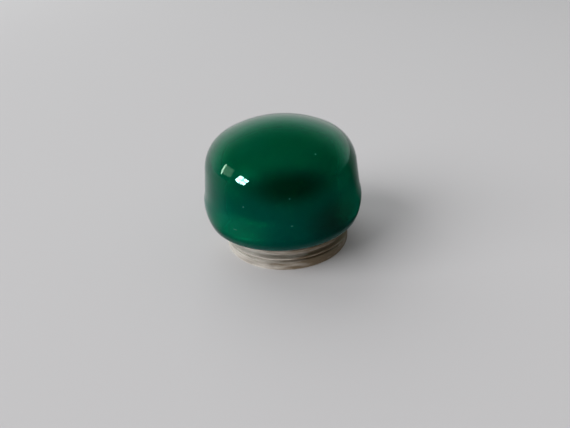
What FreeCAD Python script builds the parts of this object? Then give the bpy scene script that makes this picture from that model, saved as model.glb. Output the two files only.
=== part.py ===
"""Sew-on coat button: a hollow glass dome cemented to a ridged metal collar, with a folding wire shank.

Frame: millimetres, +Z up. The origin is on the dome's axis, level with the collar's foot, so the button
stands on z = 0. Every metal piece and the washer stand a little towards +X of that axis, because the
button was put together by hand. The shank loop swings about a line along X in the recess under the
back plate, and is drawn folded towards +Y.
"""
import FreeCAD, Part
import math
import os

import Sketcher

DIMENSIONS = {
    # glass dome. Its outside and its bore lean inwards by the two drafts, in degrees
    "dome_top": 17.85,
    "crown_radius": 16.5,
    "shoulder_radius": 5.2,
    "wall_radius": 10.7,
    "wall_draft": 7.8,
    "cove_height": 1.3,
    "cove_curve": 7.0,
    "belt_radius": 11.0,
    "belt_height": 7.8,
    "belt_round": 0.25,
    "skirt_curve": 7.0,
    "foot_radius": 10.4,
    "foot_height": 4.05,
    "foot_round": 0.3,
    "glass_thickness": 2.0,
    "mouth_radius": 8.5,
    "bore_draft": 4.0,
    # how far towards +X of the dome's axis the collar and all it carries stand
    "assembly_offset": 0.35,
    # ridged metal collar
    "groove_radius": 8.6,
    "foot_band_radius": 8.85,
    "foot_band_height": 1.35,
    "bead_radius": 0.28,
    "bead_centre_radius": 8.65,
    "bead_first_height": 1.8,
    "bead_pitch": 1.2,
    "bead_count": 2,
    "flange_radius": 9.2,
    "flange_thickness": 0.3,
    "collar_height": 3.8,
    "collar_bore": 8.0,
    "sleeve_radius": 7.7,
    "sleeve_bore": 7.3,
    "sleeve_height": 6.8,
    "edge_round": 0.1,
    # washer and cement
    "washer_bore": 7.8,
    "washer_radius": 9.4,
    "cement_height": 6.0,
    # back plate, pressed into the collar
    "plate_underside": 2.9,
    "plate_thickness": 0.5,
    "plate_rim_height": 2.0,
    "plate_rim_bore": 7.5,
    "plate_bend": 0.3,
    # shank saddle and its rivets
    "saddle_width": 3.0,
    "saddle_half_length": 3.4,
    "saddle_thickness": 0.4,
    "saddle_bend": 0.2,
    "rivet_offset": 2.3,
    "rivet_radius": 0.5,
    "rivet_head_radius": 0.85,
    "rivet_head_height": 0.35,
    "rivet_tail_radius": 0.8,
    "rivet_tail_height": 0.3,
    # wire shank loop
    "wire_radius": 0.6,
    "running_clearance": 0.05,
    "loop_half_width": 3.4,
    "loop_corner": 1.4,
    "loop_leg": 1.5,
}


class Length:
    """A length or an angle: its value, and the sheet expression that drives it."""

    def __init__(self, value, text):
        self.value = value
        self.text = text

    def __add__(self, other):
        return Length(self.value + other.value, f"({self.text} + {other.text})")

    def __sub__(self, other):
        return Length(self.value - other.value, f"({self.text} - {other.text})")

    def __neg__(self):
        return Length(-self.value, f"(-1 * {self.text})")

    def slope(self, angle):
        """How far a line at this angle, in degrees, runs sideways over this length."""
        value = self.value * math.tan(math.radians(angle.value))
        return Length(value, f"({self.text} * tan({angle.text} * 1deg))")


ZERO = Length(0.0, "0")


def size(name):
    return Length(DIMENSIONS[name], "Dimensions." + name)


def make_sheet(doc):
    """Writes the driving dimensions to the sheet, one named cell each."""
    sheet = doc.addObject("Spreadsheet::Sheet", "Dimensions")
    for row, (name, value) in enumerate(DIMENSIONS.items(), start=1):
        sheet.set(f"A{row}", name)
        sheet.set(f"B{row}", str(value))
        sheet.setAlias(f"B{row}", name)
    doc.recompute()


def make_body(doc, label, offset=None):
    """A body on the dome's axis, or moved along X by a sheet length."""
    body = doc.addObject("PartDesign::Body", label)
    body.Label = label
    body.Placement = FreeCAD.Placement()
    if offset:
        body.setExpression("Placement.Base.x", offset.text)
    return body


def origin_feature(body, role):
    return next(item for item in body.Origin.OriginFeatures if item.Role == role)


def make_sketch(body, name, role="XZ_Plane"):
    sketch = body.newObject("Sketcher::SketchObject", name)
    sketch.AttachmentSupport = (origin_feature(body, role), [""])
    sketch.MapMode = "FlatFace"
    return sketch


def drive(sketch, constraint, length):
    """Adds a dimension to a sketch and binds it to the sheet."""
    number = sketch.addConstraint(constraint)
    sketch.setExpression(f"Constraints[{number}]", length.text)


def pin(sketch, edge, end, point):
    """Holds one end of an edge at a point given by two driven lengths."""
    for kind, axis, length in (("DistanceX", -2, point[0]), ("DistanceY", -1, point[1])):
        if length.value == 0:
            sketch.addConstraint(Sketcher.Constraint("PointOnObject", edge, end, axis))
        else:
            drive(sketch, Sketcher.Constraint(kind, -1, 1, edge, end, length.value), length)


def vector(point):
    return FreeCAD.Vector(point[0].value, point[1].value, 0)


def arc_between(start, end, radius, hollow):
    """The short arc from start to end. It bulges to the right of its way, or to the left if hollow."""
    chord = end - start
    side = FreeCAD.Vector(chord.y, -chord.x, 0).normalize() * (-1 if hollow else 1)
    depth = radius - max(radius**2 - (chord.Length / 2) ** 2, 0) ** 0.5
    return Part.Arc(start, (start + end) * 0.5 + side * depth, end)


def draw_outline(sketch, corners, arcs=None, hollow_arcs=None):
    """Draws a closed outline, listed anticlockwise, with every corner and every arc's radius driven.

    arcs and hollow_arcs map a corner's number to the radius of the round edge that leaves it.
    """
    arcs = arcs or {}
    hollow_arcs = hollow_arcs or {}
    count = len(corners)
    for number, corner in enumerate(corners):
        start = vector(corner)
        end = vector(corners[(number + 1) % count])
        radius = arcs.get(number) or hollow_arcs.get(number)
        if radius:
            edge = arc_between(start, end, radius.value, number in hollow_arcs)
        else:
            edge = Part.LineSegment(start, end)
        sketch.addGeometry(edge, False)
    for number, corner in enumerate(corners):
        following = (number + 1) % count
        leaving = 1 if number in hollow_arcs else 2
        entering = 2 if following in hollow_arcs else 1
        sketch.addConstraint(Sketcher.Constraint("Coincident", number, leaving, following, entering))
        pin(sketch, number, 2 if number in hollow_arcs else 1, corner)
    for number, radius in {**arcs, **hollow_arcs}.items():
        level = corners[number][1]
        chord = (vector(corners[(number + 1) % count]) - vector(corners[number])).Length
        if abs(chord - 2 * radius.value) < 1e-6:
            # a half-round is held by its centre's height, because its radius follows from its two level ends
            drive(sketch, Sketcher.Constraint("DistanceY", -1, 1, number, 3, level.value), level)
        else:
            drive(sketch, Sketcher.Constraint("Radius", number, radius.value), radius)


def draw_cup(sketch, base_radius, base_height, draft, crown_radius, top):
    """Half of a domed cup: a base, a wall that leans in by the draft, and a crown centred on the axis."""
    corner_height = top.value - base_radius.value**2 / (2 * crown_radius.value)
    foot = FreeCAD.Vector(base_radius.value, base_height.value, 0)
    corner = FreeCAD.Vector(base_radius.value, corner_height, 0)
    peak = FreeCAD.Vector(0, top.value, 0)
    sketch.addGeometry(Part.LineSegment(FreeCAD.Vector(0, base_height.value, 0), foot), False)
    sketch.addGeometry(Part.LineSegment(foot, corner), False)
    sketch.addGeometry(arc_between(corner, peak, crown_radius.value, False), False)
    sketch.addGeometry(Part.LineSegment(peak, FreeCAD.Vector(0, base_height.value, 0)), False)
    for edge in range(4):
        sketch.addConstraint(Sketcher.Constraint("Coincident", edge, 2, (edge + 1) % 4, 1))
    pin(sketch, 0, 1, (ZERO, base_height))
    pin(sketch, 1, 1, (base_radius, base_height))
    pin(sketch, 3, 1, (ZERO, top))
    sketch.addConstraint(Sketcher.Constraint("PointOnObject", 2, 3, -2))
    drive(sketch, Sketcher.Constraint("Radius", 2, crown_radius.value), crown_radius)
    lean = Length(90 + draft.value, f"(90 + {draft.text})")
    angle = FreeCAD.Units.Quantity(lean.value, FreeCAD.Units.Angle)
    drive(sketch, Sketcher.Constraint("Angle", 1, angle), lean)


def revolve(body, name, sketch, kind="Revolution"):
    """Turns a sketch about its own vertical axis: a Revolution adds, a Groove cuts."""
    feature = body.newObject("PartDesign::" + kind, name)
    feature.Profile = sketch
    feature.ReferenceAxis = (sketch, ["V_Axis"])
    feature.Angle = 360
    body.Document.recompute()
    return feature


def level_circles(feature):
    """Lists a turned shape's level circular edges with their names. The point at a pole is no circle."""
    named = [(f"Edge{number}", edge) for number, edge in enumerate(feature.Shape.Edges, start=1)]
    real = [(name, edge.Curve) for name, edge in named if not edge.Degenerated]
    return [
        (name, curve)
        for name, curve in real
        if curve.TypeId == "Part::GeomCircle" and abs(curve.Axis.z) > 0.99
    ]


def circles_at(feature, radius, height):
    """Names the circular edges of a turned shape that have this radius at this height."""
    return [
        name
        for name, curve in level_circles(feature)
        if abs(curve.Radius - radius) < 1e-4 and abs(curve.Center.z - height) < 1e-4
    ]


def cup_shoulder(feature, cup):
    """Names the sharp circle where the wall of a drawn cup meets its crown."""
    corner = cup.getPoint(1, 2)
    return circles_at(feature, corner.x, corner.y)


def edges_across(feature, corner):
    """Names the straight edges along X that pass through a corner given in the YZ plane."""
    return [
        f"Edge{number}"
        for number, edge in enumerate(feature.Shape.Edges, start=1)
        if all(
            abs(vertex.Y - corner[0].value) < 1e-4 and abs(vertex.Z - corner[1].value) < 1e-4
            for vertex in edge.Vertexes
        )
    ]


def round_edges(body, name, base, edges, radius):
    fillet = body.newObject("PartDesign::Fillet", name)
    fillet.Base = (base, edges)
    fillet.setExpression("Radius", radius.text)
    body.Document.recompute()
    return fillet


def cut_holes(body, name, sketch):
    """Cuts a sketch of circles right through the body, both ways from the sketch."""
    volume = body.Shape.Volume
    pocket = body.newObject("PartDesign::Pocket", name)
    pocket.Profile = sketch
    pocket.Type = "ThroughAll"
    pocket.Midplane = True
    body.Document.recompute()
    if body.Shape.Volume > volume - 0.1:
        raise RuntimeError(f"{name} cut nothing")
    return pocket


def draw_circle(sketch, number, centre, radius):
    """Adds a circle, the sketch's edge of that number, with its centre and radius driven."""
    sketch.addGeometry(Part.Circle(vector(centre), FreeCAD.Vector(0, 0, 1), radius.value), False)
    pin(sketch, number, 3, centre)
    drive(sketch, Sketcher.Constraint("Radius", number, radius.value), radius)


def draw_rivet_holes(sketch):
    """Two circles on the Y axis, one for each rivet."""
    draw_circle(sketch, 0, (ZERO, size("rivet_offset")), size("rivet_radius"))
    draw_circle(sketch, 1, (ZERO, -size("rivet_offset")), size("rivet_radius"))


def glass_dome(doc):
    """Pressed glass shell: a crown, a drafted wall that flares in a cove to the belt, and a round skirt."""
    body = make_body(doc, "glass_dome")
    wall_foot = size("belt_height") + size("cove_height")
    upper = make_sketch(body, "upper_profile")
    draw_cup(
        upper,
        size("wall_radius"),
        wall_foot,
        size("wall_draft"),
        size("crown_radius"),
        size("dome_top"),
    )
    shell = revolve(body, "upper_shell", upper)
    body.Tip = round_edges(body, "shoulder", shell, cup_shoulder(shell, upper), size("shoulder_radius"))

    skirt = make_sketch(body, "skirt_profile")
    draw_outline(
        skirt,
        [
            (ZERO, size("foot_height")),
            (size("foot_radius"), size("foot_height")),
            (size("belt_radius"), size("belt_height")),
            (size("wall_radius"), wall_foot),
            (ZERO, wall_foot),
        ],
        arcs={1: size("skirt_curve")},
        hollow_arcs={2: size("cove_curve")},
    )
    skirt_turn = revolve(body, "skirt", skirt)

    mouth = make_sketch(body, "mouth_profile")
    thickness = size("glass_thickness")
    draw_cup(
        mouth,
        size("mouth_radius"),
        size("foot_height"),
        size("bore_draft"),
        size("crown_radius") - thickness,
        size("dome_top") - thickness,
    )
    cavity = revolve(body, "cavity", mouth, "Groove")
    if cavity.Shape.Volume > skirt_turn.Shape.Volume - 100:
        raise RuntimeError("the cavity cut nothing")
    inner_edge = cup_shoulder(cavity, mouth)
    inner = round_edges(body, "inner_shoulder", cavity, inner_edge, size("shoulder_radius") - thickness)
    belt_edge = circles_at(inner, DIMENSIONS["belt_radius"], DIMENSIONS["belt_height"])
    belt = round_edges(body, "belt_edge", inner, belt_edge, size("belt_round"))
    foot_edges = circles_at(belt, DIMENSIONS["foot_radius"], DIMENSIONS["foot_height"])
    body.Tip = round_edges(body, "foot_edge", belt, foot_edges, size("foot_round"))
    return body


def seat_washer(doc):
    """Flat washer between the glass foot and the collar's flange."""
    body = make_body(doc, "seat_washer", size("assembly_offset"))
    profile = make_sketch(body, "washer_profile")
    draw_outline(
        profile,
        [
            (size("washer_bore"), size("collar_height")),
            (size("washer_radius"), size("collar_height")),
            (size("washer_radius"), size("foot_height")),
            (size("washer_bore"), size("foot_height")),
        ],
    )
    body.Tip = revolve(body, "washer", profile)
    return body


def cement_ring(doc):
    """Cement in the dome's tapered mouth, bored for the sleeve that stands a little off the dome's axis."""
    body = make_body(doc, "cement_ring")
    profile = make_sketch(body, "cement_profile")
    rise = size("cement_height") - size("foot_height")
    taper = rise.slope(size("bore_draft"))
    draw_outline(
        profile,
        [
            (ZERO, size("foot_height")),
            (size("mouth_radius"), size("foot_height")),
            (size("mouth_radius") - taper, size("cement_height")),
            (ZERO, size("cement_height")),
        ],
    )
    revolve(body, "cement_plug", profile)
    bore = make_sketch(body, "sleeve_hole", "XY_Plane")
    draw_circle(bore, 0, (size("assembly_offset"), ZERO), size("sleeve_radius"))
    body.Tip = cut_holes(body, "sleeve_bore", bore)
    return body


def ridged_collar(doc):
    """Metal collar: a foot band, raised beads and a flange, and a thin sleeve that rises inside the dome."""
    body = make_body(doc, "ridged_collar", size("assembly_offset"))
    profile = make_sketch(body, "collar_profile")
    flange_underside = size("collar_height") - size("flange_thickness")
    plate_top = size("plate_underside") + size("plate_thickness")
    draw_outline(
        profile,
        [
            (size("collar_bore"), ZERO),
            (size("foot_band_radius"), ZERO),
            (size("foot_band_radius"), size("foot_band_height")),
            (size("groove_radius"), size("foot_band_height")),
            (size("groove_radius"), flange_underside),
            (size("flange_radius"), flange_underside),
            (size("flange_radius"), size("collar_height")),
            (size("sleeve_radius"), size("collar_height")),
            (size("sleeve_radius"), size("sleeve_height")),
            (size("sleeve_bore"), size("sleeve_height")),
            (size("sleeve_bore"), plate_top),
            (size("collar_bore"), plate_top),
        ],
    )
    tube = revolve(body, "collar_tube", profile)
    rounded = [
        (size("foot_band_radius"), ZERO),
        (size("foot_band_radius"), size("foot_band_height")),
        (size("flange_radius"), flange_underside),
        (size("flange_radius"), size("collar_height")),
    ]
    edges = [edge for radius, height in rounded for edge in circles_at(tube, radius.value, height.value)]
    body.Tip = round_edges(body, "edge_round", tube, edges, size("edge_round"))

    bead = make_sketch(body, "bead_profile")
    draw_circle(bead, 0, (size("bead_centre_radius"), size("bead_first_height")), size("bead_radius"))
    first = revolve(body, "first_bead", bead)
    beads = body.newObject("PartDesign::LinearPattern", "beads")
    beads.Originals = [first]
    beads.Direction = (origin_feature(body, "Z_Axis"), [""])
    beads.setExpression("Length", "Dimensions.bead_pitch * (Dimensions.bead_count - 1)")
    beads.setExpression("Occurrences", "Dimensions.bead_count")
    body.Tip = beads
    return body


def back_plate(doc):
    """Stamped disc with a turned-down rim, pressed into the collar's bore and drilled for two rivets."""
    body = make_body(doc, "back_plate", size("assembly_offset"))
    profile = make_sketch(body, "plate_profile")
    plate_top = size("plate_underside") + size("plate_thickness")
    draw_outline(
        profile,
        [
            (ZERO, size("plate_underside")),
            (size("plate_rim_bore"), size("plate_underside")),
            (size("plate_rim_bore"), size("plate_rim_height")),
            (size("collar_bore"), size("plate_rim_height")),
            (size("collar_bore"), plate_top),
            (ZERO, plate_top),
        ],
    )
    disc = revolve(body, "disc", profile)
    bend = circles_at(disc, DIMENSIONS["plate_rim_bore"], DIMENSIONS["plate_underside"])
    body.Tip = round_edges(body, "plate_bend", disc, bend, size("plate_bend"))
    holes = make_sketch(body, "plate_holes", "XY_Plane")
    draw_rivet_holes(holes)
    cut_holes(body, "plate_drilling", holes)
    return body


def pivot_height():
    """Height of the shank's swing axis, a running clearance and a wire radius below the back plate."""
    return size("plate_underside") - size("running_clearance") - size("wire_radius")


def shank_saddle(doc):
    """Stamped strap that holds the loop's bar up against the back plate, with a riveted ear on each side."""
    body = make_body(doc, "shank_saddle", size("assembly_offset"))
    side = make_sketch(body, "saddle_profile", "YZ_Plane")
    axis = pivot_height()
    inner = size("wire_radius") + size("running_clearance")
    outer = inner + size("saddle_thickness")
    ear_top = size("plate_underside")
    ear_under = ear_top - size("saddle_thickness")
    reach = size("saddle_half_length")
    draw_outline(
        side,
        [
            (-outer, axis),
            (outer, axis),
            (outer, ear_under),
            (reach, ear_under),
            (reach, ear_top),
            (inner, ear_top),
            (inner, axis),
            (-inner, axis),
            (-inner, ear_top),
            (-reach, ear_top),
            (-reach, ear_under),
            (-outer, ear_under),
        ],
        arcs={0: outer},
        hollow_arcs={6: inner},
    )
    strap = body.newObject("PartDesign::Pad", "strap")
    strap.Profile = side
    strap.Midplane = True
    strap.setExpression("Length", "Dimensions.saddle_width")
    body.Document.recompute()
    bends = [(outer, ear_under), (inner, ear_top), (-inner, ear_top), (-outer, ear_under)]
    bend_edges = [edge for bend in bends for edge in edges_across(strap, bend)]
    body.Tip = round_edges(body, "saddle_bends", strap, bend_edges, size("saddle_bend"))
    holes = make_sketch(body, "saddle_holes", "XY_Plane")
    draw_rivet_holes(holes)
    cut_holes(body, "saddle_drilling", holes)
    return body


def cap_radius(edge_radius, rise):
    """Radius of the arc that is level on the axis and falls by the rise at the edge radius."""
    value = (edge_radius.value**2 + rise.value**2) / (2 * rise.value)
    return Length(value, f"(({edge_radius.text}^2 + {rise.text}^2) / (2 * {rise.text}))")


def saddle_rivets(doc):
    """Two rivets, heads under the saddle's ears and tails upset over the back plate."""
    body = make_body(doc, "saddle_rivets", size("assembly_offset"))
    body.AllowCompound = True
    profile = make_sketch(body, "rivet_profile")
    shoulder = size("plate_underside") - size("saddle_thickness")
    plate_top = size("plate_underside") + size("plate_thickness")
    draw_outline(
        profile,
        [
            (ZERO, shoulder - size("rivet_head_height")),
            (size("rivet_head_radius"), shoulder),
            (size("rivet_radius"), shoulder),
            (size("rivet_radius"), plate_top),
            (size("rivet_tail_radius"), plate_top),
            (ZERO, plate_top + size("rivet_tail_height")),
        ],
        arcs={
            0: cap_radius(size("rivet_head_radius"), size("rivet_head_height")),
            4: cap_radius(size("rivet_tail_radius"), size("rivet_tail_height")),
        },
    )
    profile.setExpression("AttachmentOffset.Base.z", "Dimensions.rivet_offset")
    first = revolve(body, "first_rivet", profile)
    pair = body.newObject("PartDesign::Mirrored", "rivet_pair")
    pair.Originals = [first]
    pair.MirrorPlane = (origin_feature(body, "XZ_Plane"), [""])
    body.Tip = pair
    return body


def draw_loop_path(sketch):
    """D-shaped centre line: a straight bar, rounded corners, two legs and a half-round bow."""
    half = size("loop_half_width")
    corner = size("loop_corner")
    leg_end = corner + size("loop_leg")
    bar_end = half - corner
    draw_outline(
        sketch,
        [
            (-bar_end, ZERO),
            (bar_end, ZERO),
            (half, corner),
            (half, leg_end),
            (-half, leg_end),
            (-half, corner),
        ],
        arcs={1: corner, 3: half, 5: corner},
    )


def shank_loop(doc):
    """Wire D-loop for the sewing thread, lying folded in the recess; its bar runs in the saddle."""
    body = make_body(doc, "shank_loop", size("assembly_offset"))
    path = make_sketch(body, "loop_path", "XY_Plane")
    draw_loop_path(path)
    section = make_sketch(body, "wire_section", "YZ_Plane")
    draw_circle(section, 0, (ZERO, ZERO), size("wire_radius"))
    body.Document.recompute()
    wire = body.newObject("PartDesign::AdditivePipe", "wire")
    wire.Profile = section
    wire.Spine = (path, [f"Edge{number}" for number in range(1, 7)])
    wire.Mode = "Standard"
    wire.Transition = "Transformed"
    body.Tip = wire
    body.setExpression("Placement.Base.z", pivot_height().text)
    return body


def check(doc, parts):
    """Stops if any object failed to build, or a sub-part isn't one valid solid (the rivets are two)."""
    for item in doc.Objects:
        if "Invalid" in item.State or "Error" in item.State:
            raise RuntimeError(f"{item.Name}: {item.State}")
    for part in parts:
        wanted = 2 if part.Label == "saddle_rivets" else 1
        if part.Shape.isNull() or not part.Shape.isValid() or len(part.Shape.Solids) != wanted:
            raise RuntimeError(f"{part.Label} isn't a valid shape")


def main():
    os.makedirs("parts", exist_ok=True)
    doc = FreeCAD.newDocument("sew_on_button")
    make_sheet(doc)
    makers = (
        glass_dome,
        seat_washer,
        cement_ring,
        ridged_collar,
        back_plate,
        shank_saddle,
        saddle_rivets,
        shank_loop,
    )
    parts = [make(doc) for make in makers]
    doc.recompute()
    check(doc, parts)
    for part in parts:
        part.Shape.exportStep(f"parts/{part.Label}.step")


main()
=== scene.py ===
"""Looks for the sew-on glass button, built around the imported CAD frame.

The glass dome and the ridged collar get finer meshes that stand for their CAD nodes.
The washer, the cement, the back plate, the saddle, the rivets and the loop keep their CAD shapes.
Lengths on the button are millimetres, turned to metres by MM. The studio's are metres where it says so.
"""

import math

import bmesh
import bpy
from mathutils import Matrix, Vector


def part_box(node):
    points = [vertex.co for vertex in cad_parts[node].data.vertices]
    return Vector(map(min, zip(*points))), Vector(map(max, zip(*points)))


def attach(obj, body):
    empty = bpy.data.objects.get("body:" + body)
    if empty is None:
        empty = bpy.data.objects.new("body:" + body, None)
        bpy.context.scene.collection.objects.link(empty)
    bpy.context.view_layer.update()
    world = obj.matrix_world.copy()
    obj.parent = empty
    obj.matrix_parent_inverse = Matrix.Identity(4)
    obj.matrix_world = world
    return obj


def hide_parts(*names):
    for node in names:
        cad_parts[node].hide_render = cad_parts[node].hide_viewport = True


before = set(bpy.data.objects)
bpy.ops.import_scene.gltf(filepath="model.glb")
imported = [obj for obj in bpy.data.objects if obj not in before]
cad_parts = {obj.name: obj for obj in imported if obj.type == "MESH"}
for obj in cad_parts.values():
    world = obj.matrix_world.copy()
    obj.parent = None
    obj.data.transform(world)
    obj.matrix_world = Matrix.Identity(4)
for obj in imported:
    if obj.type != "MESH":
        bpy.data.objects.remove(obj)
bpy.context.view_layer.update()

MM = 0.001

# heights, and how far the collar stands off the dome's axis, from the CAD boxes
DOME_LOW, DOME_HIGH = (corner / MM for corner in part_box("glass_dome"))
COLLAR_LOW, COLLAR_HIGH = (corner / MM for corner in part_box("ridged_collar"))
DOME_TOP = DOME_HIGH.z
FOOT_HEIGHT = DOME_LOW.z
COLLAR_OFFSET = (COLLAR_LOW.x + COLLAR_HIGH.x) / 2

# the rest of the dome's outline
BELT_RADIUS = 11.0
BELT_HEIGHT = 7.8
WALL_RADIUS = 10.7
WALL_FOOT = 9.1
WALL_DRAFT = 7.8
COVE_CURVE = 7.0
SHOULDER_RADIUS = 5.2
CROWN_RADIUS = 16.5
FOOT_RADIUS = 10.4
FOOT_EDGE = 0.3
SKIRT_CURVE = 7.0
GLASS_THICKNESS = 2.0
MOUTH_RADIUS = 8.5
BORE_DRAFT = 4.0

# the collar's outline, from the foot up
BAND_RADIUS = 8.85
BAND_HEIGHT = 1.35
BAND_EDGE = 0.15
BAND_ROLL_IN = 0.23
BAND_ROLL_UP = 0.05
BEAD_CENTRE = 8.65
BEAD_RADIUS = 0.28
BEAD_HEIGHTS = (1.8, 3.0)
BEAD_HALF_ANGLE = 1.3
GROOVE_RADIUS = 8.7
FLANGE_LOW = 3.5
FLANGE_HIGH = 3.8
FLANGE_RADIUS = 9.2
FLANGE_EDGE = 0.1
FLANGE_FILLET = 0.05
SLEEVE_OUTSIDE = 7.7
SLEEVE_INSIDE = 7.3
SLEEVE_TOP = 6.8
SLEEVE_EDGE = 0.05
RECESS_RADIUS = 8.0
RECESS_DEPTH = 3.4

# steps round a turned mesh, up a wall, and along a shoulder or a crown
AROUND = 256
WALL_STEPS = 6
CURVE_STEPS = 28

# the glass: skin colours, clearness, how matt its inside is, and the tints of mirrored and passing light
# the low colour is lighter and bluer than the high one: a painted reflection of the pale floor on the
# lower glass
GLASS_LOW_COLOUR = (0.0, 0.4, 0.33)
GLASS_HIGH_COLOUR = (0.0, 0.34, 0.16)
SCUFF_COLOUR = (0.05, 0.4, 0.3)
GLASS_CLEARNESS = 0.88
SCUFF_CLEARNESS = 0.6
BORE_ROUGHNESS = 0.3
MIRROR_TINT = (0.3, 0.8, 0.75)
DEPTH_COLOUR = (0.0, 0.74, 0.6)
DEPTH_DENSITY = 620.0

# painted shade and light in the glass, a dark patch high on the front, a dark patch low on the front
# right and a bright green glow low on the front left: where, how far they reach, how strong, and what
# colour
PAINTED_SHADE_AND_GLOW = (
    ((0.9, -9.7, 12.6), (7.2, 5.0, 2.8), 0.8, (0.0, 0.07, 0.02)),
    ((6.5, -8.2, 7.2), (6.0, 5.0, 3.6), 0.7, (0.04, 0.08, 0.06)),
    ((-6.4, -8.6, 6.6), (7.0, 5.0, 2.8), 0.8, (0.02, 0.66, 0.4)),
)

# small scuffs on the glass: where, and how far they reach along X, Y and Z
SCUFFS = (
    ((0.9, -10.9, 8.0), (0.22, 0.3, 0.12)),
    ((-6.1, -9.1, 7.0), (0.45, 0.5, 0.09)),
    ((4.2, -7.2, 15.5), (0.16, 0.2, 0.12)),
    ((0.8, -10.3, 11.4), (0.14, 0.2, 0.12)),
    ((-4.8, -9.4, 10.2), (0.14, 0.2, 0.12)),
)


# ---------------------------------------------------------------- curves in the (radius, height) plane

def arc(centre, radius, start, end, steps):
    """Points on an arc from the start angle to the end angle, in radians."""
    return [
        (
            centre[0] + radius * math.cos(start + (end - start) * i / steps),
            centre[1] + radius * math.sin(start + (end - start) * i / steps),
        )
        for i in range(steps + 1)
    ]


def arc_through(start, end, radius, steps):
    """The short arc from start to end that bulges to the right of the way it runs."""
    chord = Vector(end) - Vector(start)
    middle = (Vector(start) + Vector(end)) / 2
    left = Vector((-chord.y, chord.x)).normalized()
    centre = middle + left * math.sqrt(radius**2 - (chord.length / 2) ** 2)
    first = math.atan2(start[1] - centre.y, start[0] - centre.x)
    last = math.atan2(end[1] - centre.y, end[0] - centre.x)
    return arc(centre, radius, first, last, steps)


def rounded(before, corner, after, steps):
    """A smooth turn from one point to another that rounds the corner between them."""
    points = []
    for i in range(steps + 1):
        t = i / steps
        weights = ((1 - t) ** 2, 2 * t * (1 - t), t**2)
        turn = list(zip(weights, (before, corner, after)))
        points.append(tuple(sum(weight * point[k] for weight, point in turn) for k in (0, 1)))
    return points


def cup_curve(base_radius, base_height, draft, shoulder, crown, top):
    """A wall that leans in by the draft, then a shoulder arc and a crown arc that ends on the axis.

    The wall rises until the shoulder arc, tangent to it, also touches the crown arc from inside.
    """
    lean = math.radians(draft)
    base = Vector((base_radius, base_height))
    up = Vector((-math.sin(lean), math.cos(lean)))
    inward = Vector((-math.cos(lean), -math.sin(lean)))
    crown_centre = Vector((0, top - crown))
    from_centre = base + inward * shoulder - crown_centre
    along = from_centre.dot(up)
    rise = -along + math.sqrt(along**2 - from_centre.length_squared + (crown - shoulder) ** 2)
    centre = base + inward * shoulder + up * rise
    bend = math.atan2(centre.y - crown_centre.y, centre.x - crown_centre.x)
    wall = [tuple(base + up * rise * i / WALL_STEPS) for i in range(WALL_STEPS)]
    turn = arc(centre, shoulder, lean, bend, CURVE_STEPS)
    cap = arc(crown_centre, crown, bend, math.pi / 2, CURVE_STEPS)
    return wall + turn + cap[1:]


# ---------------------------------------------------------------- mesh building

def new_object(name, mesh, material, body, node):
    """Links a finished mesh, rides it on its body and lets it stand for a CAD node."""
    piece = bpy.data.objects.new(name, mesh)
    bpy.context.scene.collection.objects.link(piece)
    mesh.materials.append(material)
    for face in mesh.polygons:
        face.use_smooth = True
    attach(piece, body)
    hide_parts(node)
    return piece


def lathe(name, profile, warp=None, frosted=()):
    """Turns a closed profile of (radius, height) points about Z. A point on the axis becomes one vertex.

    The rings whose numbers are in frosted get the mesh attribute of that name: the glass is matt there.
    """
    mesh = bpy.data.meshes.new(name)
    build = bmesh.new()
    skin = build.verts.layers.float.new("frosted")
    rings = []
    for radius, height in profile:
        count = AROUND if radius > 1e-6 else 1
        ring = []
        for i in range(count):
            angle = 2 * math.pi * i / AROUND
            point = Vector((radius * math.cos(angle), radius * math.sin(angle), height))
            ring.append(build.verts.new((warp(point) if warp else point) * MM))
        for vert in ring:
            vert[skin] = float(len(rings) in frosted)
        rings.append(ring)
    for low, high in zip(rings, rings[1:] + rings[:1]):
        if len(low) == 1 and len(high) == 1:
            continue
        for i in range(AROUND):
            after = (i + 1) % AROUND
            corners = [
                low[i % len(low)],
                low[after % len(low)],
                high[after % len(high)],
                high[i % len(high)],
            ]
            build.faces.new(list(dict.fromkeys(corners)))
    bmesh.ops.recalc_face_normals(build, faces=build.faces)
    build.to_mesh(mesh)
    build.free()
    return mesh


def beside_axis(point):
    """Moves a point from the dome's axis to the collar's."""
    return point + Vector((COLLAR_OFFSET, 0, 0))


def glass_profile():
    """The dome's outside, foot to crown, then its inside back down, and where the inside begins."""
    foot = rounded(
        (FOOT_RADIUS - FOOT_EDGE, FOOT_HEIGHT),
        (FOOT_RADIUS, FOOT_HEIGHT),
        (FOOT_RADIUS + FOOT_EDGE / 2, FOOT_HEIGHT + FOOT_EDGE),
        6,
    )
    skirt = arc_through(foot[-1], (BELT_RADIUS, BELT_HEIGHT), SKIRT_CURVE, 24)
    cove = arc_through((WALL_RADIUS, WALL_FOOT), (BELT_RADIUS, BELT_HEIGHT), COVE_CURVE, 16)[::-1]
    # the belt's edge is rounded from a little below it on the skirt to a little above it on the cove
    belt = rounded(skirt[-5], (BELT_RADIUS, BELT_HEIGHT), cove[5], 8)
    upper = cup_curve(WALL_RADIUS, WALL_FOOT, WALL_DRAFT, SHOULDER_RADIUS, CROWN_RADIUS, DOME_TOP)
    inside = cup_curve(
        MOUTH_RADIUS,
        FOOT_HEIGHT,
        BORE_DRAFT,
        SHOULDER_RADIUS - GLASS_THICKNESS,
        CROWN_RADIUS - GLASS_THICKNESS,
        DOME_TOP - GLASS_THICKNESS,
    )
    outside = foot + skirt[1:-5] + belt + cove[6:-1] + upper
    return outside + inside[::-1], len(outside)


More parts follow.
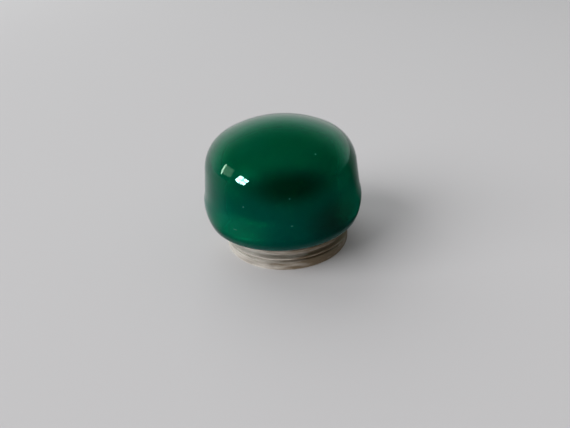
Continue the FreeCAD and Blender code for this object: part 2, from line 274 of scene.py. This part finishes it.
def collar_profile():
    """The collar's foot band, two raised beads, grooves, flange and inner sleeve."""
    foot = rounded((BAND_RADIUS - BAND_EDGE, 0.0), (BAND_RADIUS, 0.0), (BAND_RADIUS, BAND_EDGE), 5)
    band = rounded(
        (BAND_RADIUS, BAND_HEIGHT - BAND_EDGE),
        (BAND_RADIUS, BAND_HEIGHT),
        (BAND_RADIUS - BAND_ROLL_IN, BAND_HEIGHT + BAND_ROLL_UP),
        5,
    )
    beads = []
    for height in BEAD_HEIGHTS:
        beads += arc((BEAD_CENTRE, height), BEAD_RADIUS, -BEAD_HALF_ANGLE, BEAD_HALF_ANGLE, 12)
    lip = FLANGE_RADIUS - FLANGE_EDGE
    under = rounded(
        (GROOVE_RADIUS, FLANGE_LOW - 2 * FLANGE_FILLET),
        (GROOVE_RADIUS + FLANGE_FILLET, FLANGE_LOW),
        (lip, FLANGE_LOW),
        4,
    )
    low_edge = arc((lip, FLANGE_LOW + FLANGE_EDGE), FLANGE_EDGE, -math.pi / 2, 0, 4)
    high_edge = arc((lip, FLANGE_HIGH - FLANGE_EDGE), FLANGE_EDGE, 0, math.pi / 2, 4)
    inside = [
        (SLEEVE_OUTSIDE, FLANGE_HIGH),
        (SLEEVE_OUTSIDE, SLEEVE_TOP - SLEEVE_EDGE),
        (SLEEVE_OUTSIDE - SLEEVE_EDGE, SLEEVE_TOP),
        (SLEEVE_INSIDE + SLEEVE_EDGE, SLEEVE_TOP),
        (SLEEVE_INSIDE, SLEEVE_TOP - SLEEVE_EDGE),
        (SLEEVE_INSIDE, RECESS_DEPTH),
        (RECESS_RADIUS, RECESS_DEPTH),
        (RECESS_RADIUS, 0.0),
    ]
    return foot + band + beads + under + low_edge[1:] + high_edge + inside


# ---------------------------------------------------------------- materials

def new_material(name):
    """A node material, its tree and its Principled shader."""
    material = bpy.data.materials.new(name)
    material.use_nodes = True
    return material, material.node_tree, material.node_tree.nodes["Principled BSDF"]


def add_node(tree, kind, **inputs):
    """Adds a node and sets the inputs that are named."""
    node = tree.nodes.new(kind)
    for key, value in inputs.items():
        node.inputs[key].default_value = value
    return node


def add_math(tree, operation, first, second):
    """One arithmetic step on two nodes' outputs."""
    node = tree.nodes.new("ShaderNodeMath")
    node.operation = operation
    tree.links.new(first, node.inputs[0])
    tree.links.new(second, node.inputs[1])
    return node.outputs["Value"]


def object_axis(tree, axis):
    """The object's own X, Y or Z at the shaded point, in metres."""
    coordinates = tree.nodes.new("ShaderNodeTexCoord")
    axes = tree.nodes.new("ShaderNodeSeparateXYZ")
    tree.links.new(coordinates.outputs["Object"], axes.inputs["Vector"])
    return axes.outputs[axis]


def object_noise(tree, scale, detail=4.0):
    """Noise fixed to the object, its scale given in bumps per millimetre."""
    coordinates = tree.nodes.new("ShaderNodeTexCoord")
    texture = add_node(tree, "ShaderNodeTexNoise", Scale=scale / MM, Detail=detail)
    tree.links.new(coordinates.outputs["Object"], texture.inputs["Vector"])
    return texture.outputs["Fac"]


def spread(tree, value, low, high, to_low, to_high):
    """Maps a value from one span to another, clamped."""
    ramp = tree.nodes.new("ShaderNodeMapRange")
    for key, number in (("From Min", low), ("From Max", high), ("To Min", to_low), ("To Max", to_high)):
        ramp.inputs[key].default_value = number
    tree.links.new(value, ramp.inputs["Value"])
    return ramp.outputs["Result"]


def bump(tree, shader, height, depth):
    """Raises the shader's surface by a height from 0 to 1, times the depth."""
    node = add_node(tree, "ShaderNodeBump", Strength=1.0, Distance=depth * MM)
    tree.links.new(height, node.inputs["Height"])
    tree.links.new(node.outputs["Normal"], shader.inputs["Normal"])


def blend_colours(tree, share, first, second):
    """Mixes two colours, each given as three numbers or as another node's output."""
    mix = tree.nodes.new("ShaderNodeMix")
    mix.data_type = "RGBA"
    for key, colour in (("A", first), ("B", second)):
        if isinstance(colour, tuple):
            mix.inputs[key].default_value = (*colour, 1)
        else:
            tree.links.new(colour, mix.inputs[key])
    tree.links.new(share, mix.inputs["Factor"])
    return mix.outputs["Result"]


def near_point(tree, centre, radii, inner=0.5):
    """0 outside an ellipsoid in the object, in millimetres, and 1 within the inner share of its radii."""
    coordinates = tree.nodes.new("ShaderNodeTexCoord")
    shift = tree.nodes.new("ShaderNodeVectorMath")
    shift.operation = "SUBTRACT"
    shift.inputs[1].default_value = Vector(centre) * MM
    scale = tree.nodes.new("ShaderNodeVectorMath")
    scale.operation = "MULTIPLY"
    scale.inputs[1].default_value = [1 / (radius * MM) for radius in radii]
    length = tree.nodes.new("ShaderNodeVectorMath")
    length.operation = "LENGTH"
    tree.links.new(coordinates.outputs["Object"], shift.inputs[0])
    tree.links.new(shift.outputs["Vector"], scale.inputs[0])
    tree.links.new(scale.outputs["Vector"], length.inputs[0])
    return spread(tree, length.outputs["Value"], inner, 1.0, 1.0, 0.0)


def green_glass():
    """Deep green glass, lighter and bluer low down as a painted reflection of the floor, with painted
    shade on the front and a painted glow low on the left, a few small scuffs and a matt inside.
    """
    material, tree, shader = new_material("green_glass")
    # lighter and bluer towards the bottom, a painted reflection of the floor, with random cloudiness
    # added on top
    height = spread(tree, object_axis(tree, "Z"), 6 * MM, 15 * MM, 0.0, 0.9)
    floor_reflection_and_cloudiness = add_math(tree, "ADD", height, spread(tree, object_noise(tree, 0.25), 0.3, 0.7, -0.1, 0.1))
    body = blend_colours(tree, floor_reflection_and_cloudiness, GLASS_LOW_COLOUR, GLASS_HIGH_COLOUR)
    # painted shade high on the front and low on the front right, and a painted green glow low on the
    # front left
    for centre, radii, share, colour in PAINTED_SHADE_AND_GLOW:
        painted_patch = near_point(tree, centre, radii, 0.2)
        painted_patch.node.interpolation_type = "SMOOTHSTEP"
        body = blend_colours(tree, spread(tree, painted_patch, 0.0, 1.0, 0.0, share), body, colour)
    scuffs = near_point(tree, *SCUFFS[0])
    for centre, radii in SCUFFS[1:]:
        scuffs = add_math(tree, "MAXIMUM", scuffs, near_point(tree, centre, radii))
    tree.links.new(blend_colours(tree, scuffs, body, SCUFF_COLOUR), shader.inputs["Base Color"])
    clearness = spread(tree, scuffs, 0.0, 1.0, GLASS_CLEARNESS, SCUFF_CLEARNESS)
    tree.links.new(clearness, shader.inputs["Transmission Weight"])
    shader.inputs["IOR"].default_value = 1.52
    shader.inputs["Specular Tint"].default_value = (*MIRROR_TINT, 1)
    polish = spread(tree, object_noise(tree, 0.8), 0.35, 0.75, 0.0, 0.06)
    frosted = tree.nodes.new("ShaderNodeAttribute")
    frosted.attribute_name = "frosted"
    bore = spread(tree, frosted.outputs["Fac"], 0.0, 1.0, 0.0, BORE_ROUGHNESS)
    rough = add_math(tree, "MAXIMUM", polish, bore)
    rough = add_math(tree, "MAXIMUM", rough, spread(tree, scuffs, 0.0, 1.0, 0.0, 0.5))
    tree.links.new(rough, shader.inputs["Roughness"])
    bump(tree, shader, object_noise(tree, 0.12, 2.0), 0.05)
    absorb = add_node(tree, "ShaderNodeVolumeAbsorption", Color=(*DEPTH_COLOUR, 1), Density=DEPTH_DENSITY)
    output = tree.nodes["Material Output"]
    tree.links.new(absorb.outputs["Volume"], output.inputs["Volume"])
    return material


def level_noise(tree, pitch, level, detail=2.0):
    """Noise with bumps one pitch high, in millimetres, and drawn out level by one over the level."""
    coordinates = tree.nodes.new("ShaderNodeTexCoord")
    squash = tree.nodes.new("ShaderNodeVectorMath")
    squash.operation = "MULTIPLY_ADD"
    squash.inputs[1].default_value = (level, level, 1.0)
    squash.inputs[2].default_value = Vector((0.5, 0.5, 0.3)) * pitch * MM
    texture = add_node(tree, "ShaderNodeTexNoise", Scale=1 / (pitch * MM), Detail=detail)
    tree.links.new(coordinates.outputs["Object"], squash.inputs[0])
    tree.links.new(squash.outputs["Vector"], texture.inputs["Vector"])
    return texture.outputs["Fac"]


def worn_metal(name, bright, tarnish_and_shade, side=0.0):
    """Rubbed metal with turning marks, tarnished in level streaks, with painted light towards -X and
    painted shade towards +X by the side share.
    """
    material, tree, shader = new_material(name)
    shader.inputs["Metallic"].default_value = 0.6
    # painted light and shade: lighter towards -X and darker towards +X by the side share
    lean = spread(tree, object_axis(tree, "X"), -8 * MM, 4 * MM, -side, side)
    streaks = spread(tree, level_noise(tree, 0.7, 0.2, 6.0), 0.3, 0.7, 0.1, 0.9)
    stain_and_shade = spread(tree, add_math(tree, "ADD", streaks, lean), 0.0, 1.0, 0.0, 1.0)
    tree.links.new(blend_colours(tree, stain_and_shade, bright, tarnish_and_shade), shader.inputs["Base Color"])
    tree.links.new(spread(tree, stain_and_shade, 0.0, 1.0, 0.38, 0.55), shader.inputs["Roughness"])
    bump(tree, shader, level_noise(tree, 0.2, 0.008), 0.05)
    return material


def dull_solid(name, light, dark, grain):
    """Matte mineral or fibre: mottled colour and a fine rough surface."""
    material, tree, shader = new_material(name)
    mottle = spread(tree, object_noise(tree, grain, 8.0), 0.35, 0.65, 0.0, 1.0)
    tree.links.new(blend_colours(tree, mottle, light, dark), shader.inputs["Base Color"])
    shader.inputs["Roughness"].default_value = 0.9
    bump(tree, shader, object_noise(tree, grain * 4, 6.0), 0.03)
    return material


# ---------------------------------------------------------------- pieces

def paint_node(node, material):
    """Gives a carried-over CAD node its material."""
    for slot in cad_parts[node].material_slots:
        slot.material = material


def build_pieces():
    """Builds the dome and the collar, paints the other nodes, and returns the dome."""
    # the collar's side share of 0.56 paints light on its -X side and shade on its +X side
    metal = worn_metal("collar_metal", (0.84, 0.79, 0.72), (0.2, 0.15, 0.095), 0.56)
    plate = worn_metal("plate_metal", (0.60, 0.53, 0.40), (0.36, 0.27, 0.15))
    outline, bore_start = glass_profile()
    # the bore is matt, and so is the inner edge of the foot
    glass = lathe("dome", outline, frosted=(0, 1, *range(bore_start, len(outline))))
    dome = new_object("dome", glass, green_glass(), "button", "glass_dome")
    ring = lathe("collar", collar_profile(), beside_axis)
    new_object("collar", ring, metal, "button", "ridged_collar")
    paint_node("seat_washer", dull_solid("washer_fibre", (0.5, 0.49, 0.45), (0.3, 0.29, 0.26), 1.5))
    paint_node("cement_ring", dull_solid("cement", (0.34, 0.33, 0.29), (0.24, 0.22, 0.19), 1.0))
    paint_node("back_plate", plate)
    paint_node("shank_saddle", plate)
    paint_node("saddle_rivets", worn_metal("rivet_brass", (0.7, 0.52, 0.26), (0.4, 0.26, 0.1)))
    paint_node("shank_loop", worn_metal("loop_wire", (0.68, 0.6, 0.46), (0.42, 0.33, 0.2)))
    return dome


# ---------------------------------------------------------------- studio

def towards(azimuth, elevation):
    """The direction that lies this far round from +Y towards +X, and this far up, in degrees."""
    round_angle, up_angle = math.radians(azimuth), math.radians(elevation)
    level = math.cos(up_angle)
    return Vector((math.sin(round_angle) * level, math.cos(round_angle) * level, math.sin(up_angle)))


def make_floor():
    """A plain pale floor that can be looked through from below, to see the underside of the button."""
    material, tree, shader = new_material("floor")
    shader.inputs["Base Color"].default_value = (0.62, 0.61, 0.62, 1)
    shader.inputs["Roughness"].default_value = 0.9
    geometry = tree.nodes.new("ShaderNodeNewGeometry")
    solid_from_above = spread(tree, geometry.outputs["Backfacing"], 0.0, 1.0, 1.0, 0.0)
    tree.links.new(solid_from_above, shader.inputs["Alpha"])
    mesh = bpy.data.meshes.new("floor")
    side, level = 4.0, -0.02 * MM
    corners = [(-side, -side, level), (side, -side, level), (side, side, level), (-side, side, level)]
    mesh.from_pydata(corners, [], [(0, 1, 2, 3)])
    mesh.materials.append(material)
    floor = bpy.data.objects.new("floor", mesh)
    bpy.context.scene.collection.objects.link(floor)
    floor.visible_shadow = False


def make_dark_card():
    """A black sheet on the floor round the right, front and left of the button, for reflections alone:
    painted shade that the glass mirrors in place of the floor there.

    It fades in over its first rings and out towards both ends, so the glass mirrors no edge of it.
    """
    material, tree, shader = new_material("painted_shade_card")
    shader.inputs["Base Color"].default_value = (0.005, 0.005, 0.005, 1)
    shader.inputs["Specular IOR Level"].default_value = 0.0
    cover = tree.nodes.new("ShaderNodeAttribute")
    cover.attribute_name = "cover"
    tree.links.new(cover.outputs["Fac"], shader.inputs["Alpha"])
    radii, height = (10.5, 13.5, 6000.0), 0.3
    first, last, fade, steps = 25, 295, 45, 54
    points, covers = [], []
    for i in range(steps + 1):
        azimuth = first + (last - first) * i / steps
        share = min(1.0, (azimuth - first) / fade, (last - azimuth) / fade)
        for j, radius in enumerate(radii):
            points.append(towards(azimuth, 0) * radius * MM + Vector((0, 0, height * MM)))
            covers.append(share * min(j, 1))
    rings = len(radii)
    faces = [
        (rings * i + j, rings * i + j + 1, rings * (i + 1) + j + 1, rings * (i + 1) + j)
        for i in range(steps)
        for j in range(rings - 1)
    ]
    mesh = bpy.data.meshes.new("painted_shade_card")
    mesh.from_pydata(points, [], faces)
    mesh.attributes.new("cover", "FLOAT", "POINT").data.foreach_set("value", covers)
    mesh.materials.append(material)
    card = bpy.data.objects.new("painted_shade_card", mesh)
    bpy.context.scene.collection.objects.link(card)
    card.visible_camera = False
    card.visible_diffuse = False
    card.visible_transmission = False
    card.visible_shadow = False


def make_area_light(
    name, direction, distance, width, height, power, roll=0.0, shift=(0, 0), colour=(1, 1, 1)
):
    """A rectangular light that faces the button. Lengths are metres. Shift moves it in its own plane."""
    light = bpy.data.lights.new(name, "AREA")
    light.shape = "RECTANGLE"
    light.size = width
    light.size_y = height
    light.energy = power
    light.color = colour
    lamp = bpy.data.objects.new(name, light)
    facing = direction.to_track_quat("Z", "Y").to_matrix().to_4x4()
    turn = facing @ Matrix.Rotation(math.radians(roll), 4, "Z")
    lamp.matrix_world = Matrix.Translation(direction * distance) @ turn @ Matrix.Translation((*shift, 0))
    lamp.visible_camera = False
    bpy.context.scene.collection.objects.link(lamp)
    return lamp


def light_only(lights, name, pieces):
    """Keeps these lights to these pieces."""
    lit = bpy.data.collections.new(name)
    for piece in pieces:
        lit.objects.link(piece)
    for light in lights:
        light.light_linking.receiver_collection = lit


def make_window(glass):
    """A window low on the left that only the glass mirrors: four bright panes beside a dim curtain."""
    panes = towards(-121, 14)
    across, up = 0.082, 0.074
    lights = [
        make_area_light(
            "pane", panes, distance=1.0, width=0.135, height=0.12, power=3.8, roll=-23,
            shift=(across * column, up * row),
        )
        for column in (-1, 1)
        for row in (-1, 1)
    ]
    lights.append(make_area_light(
        "curtain", towards(-92, 19), distance=1.0, width=0.32, height=0.32, power=0.6, roll=8,
        colour=(1.0, 1.0, 0.7),
    ))
    lights.append(make_area_light(
        "curtain_edge", towards(-82, 17), distance=1.0, width=0.05, height=0.36, power=0.8, roll=8,
        colour=(1.0, 0.95, 0.75),
    ))
    light_only(lights, "lit_by_window", [glass])
    for light in lights:
        light.visible_diffuse = False
        light.visible_transmission = False


def make_soft_lights():
    """A key from the left and a fill from behind, both soft. The glass mirrors neither of them."""
    key = make_area_light("key", towards(-112, 35), distance=2.0, width=1.6, height=1.3, power=32.0)
    fill = make_area_light("fill", towards(-30, 42), distance=2.0, width=2.2, height=1.5, power=14.0)
    for light in (key, fill):
        light.visible_glossy = False
        light.visible_transmission = False


def make_underside_light():
    """A soft light below the floor for the recess in the button's back, which no other light reaches."""
    names = ("back_plate", "shank_saddle", "saddle_rivets", "shank_loop")
    pieces = [bpy.data.objects["collar"]] + [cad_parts[name] for name in names]
    below = towards(200, -70)
    light = make_area_light("underside", below, distance=0.15, width=0.12, height=0.12, power=0.09)
    light_only([light], "lit_from_below", pieces)


def make_world():
    """A plain, evenly lit room. The glass mirrors it as dark, but for a glow low behind the button."""
    world = bpy.data.worlds.new("studio")
    world.use_nodes = True
    tree = world.node_tree
    coordinates = tree.nodes.new("ShaderNodeTexCoord")
    axes = tree.nodes.new("ShaderNodeSeparateXYZ")
    tree.links.new(coordinates.outputs["Generated"], axes.inputs["Vector"])
    low = spread(tree, axes.outputs["Z"], 0.0, 0.95, 1.0, 0.0)
    behind = spread(tree, axes.outputs["Y"], -0.05, 0.85, 0.0, 1.0)
    for node in (low.node, behind.node):
        node.interpolation_type = "SMOOTHSTEP"
    glow = add_math(tree, "MULTIPLY", low, behind)
    colour = blend_colours(tree, glow, (0.3, 1.0, 0.8), (0.98, 1.0, 0.99))
    mirrored = tree.nodes["Background"]
    tree.links.new(colour, mirrored.inputs["Color"])
    tree.links.new(spread(tree, glow, 0.0, 0.65, 0.01, 0.7), mirrored.inputs["Strength"])
    rays = tree.nodes.new("ShaderNodeLightPath")
    seen = mirrored
    for kind, strength in (("Is Diffuse Ray", 0.32), ("Is Camera Ray", 0.5)):
        plain = add_node(tree, "ShaderNodeBackground", Strength=strength)
        plain.inputs["Color"].default_value = (1, 1, 1, 1)
        choice = tree.nodes.new("ShaderNodeMixShader")
        tree.links.new(rays.outputs[kind], choice.inputs["Fac"])
        tree.links.new(seen.outputs[0], choice.inputs[1])
        tree.links.new(plain.outputs[0], choice.inputs[2])
        seen = choice
    tree.links.new(seen.outputs[0], tree.nodes["World Output"].inputs["Surface"])
    bpy.context.scene.world = world


def make_camera():
    """Looks down at the button from the front, from close by, rolled by a few degrees."""
    camera = bpy.data.cameras.new("camera")
    camera.sensor_width = 36.0
    camera.lens = 28.05
    camera.clip_start = 0.002
    camera.clip_end = 20.0
    holder = bpy.data.objects.new("camera", camera)
    place = Matrix.Translation(Vector((0.15, -56.27, 35.65)) * MM)
    tilt = Matrix.Rotation(math.radians(60.27), 4, "X")
    roll = Matrix.Rotation(math.radians(-3.63), 4, "Z")
    holder.matrix_world = place @ tilt @ roll
    bpy.context.scene.collection.objects.link(holder)
    bpy.context.scene.camera = holder


def set_look():
    """Plain colours, and enough bounces for light to pass through the glass."""
    scene = bpy.context.scene
    scene.view_settings.view_transform = "Standard"
    scene.cycles.max_bounces = 24
    scene.cycles.transmission_bounces = 24
    scene.cycles.glossy_bounces = 8


dome = build_pieces()
make_floor()
make_dark_card()
make_world()
make_window(dome)
make_soft_lights()
make_underside_light()
make_camera()
set_look()
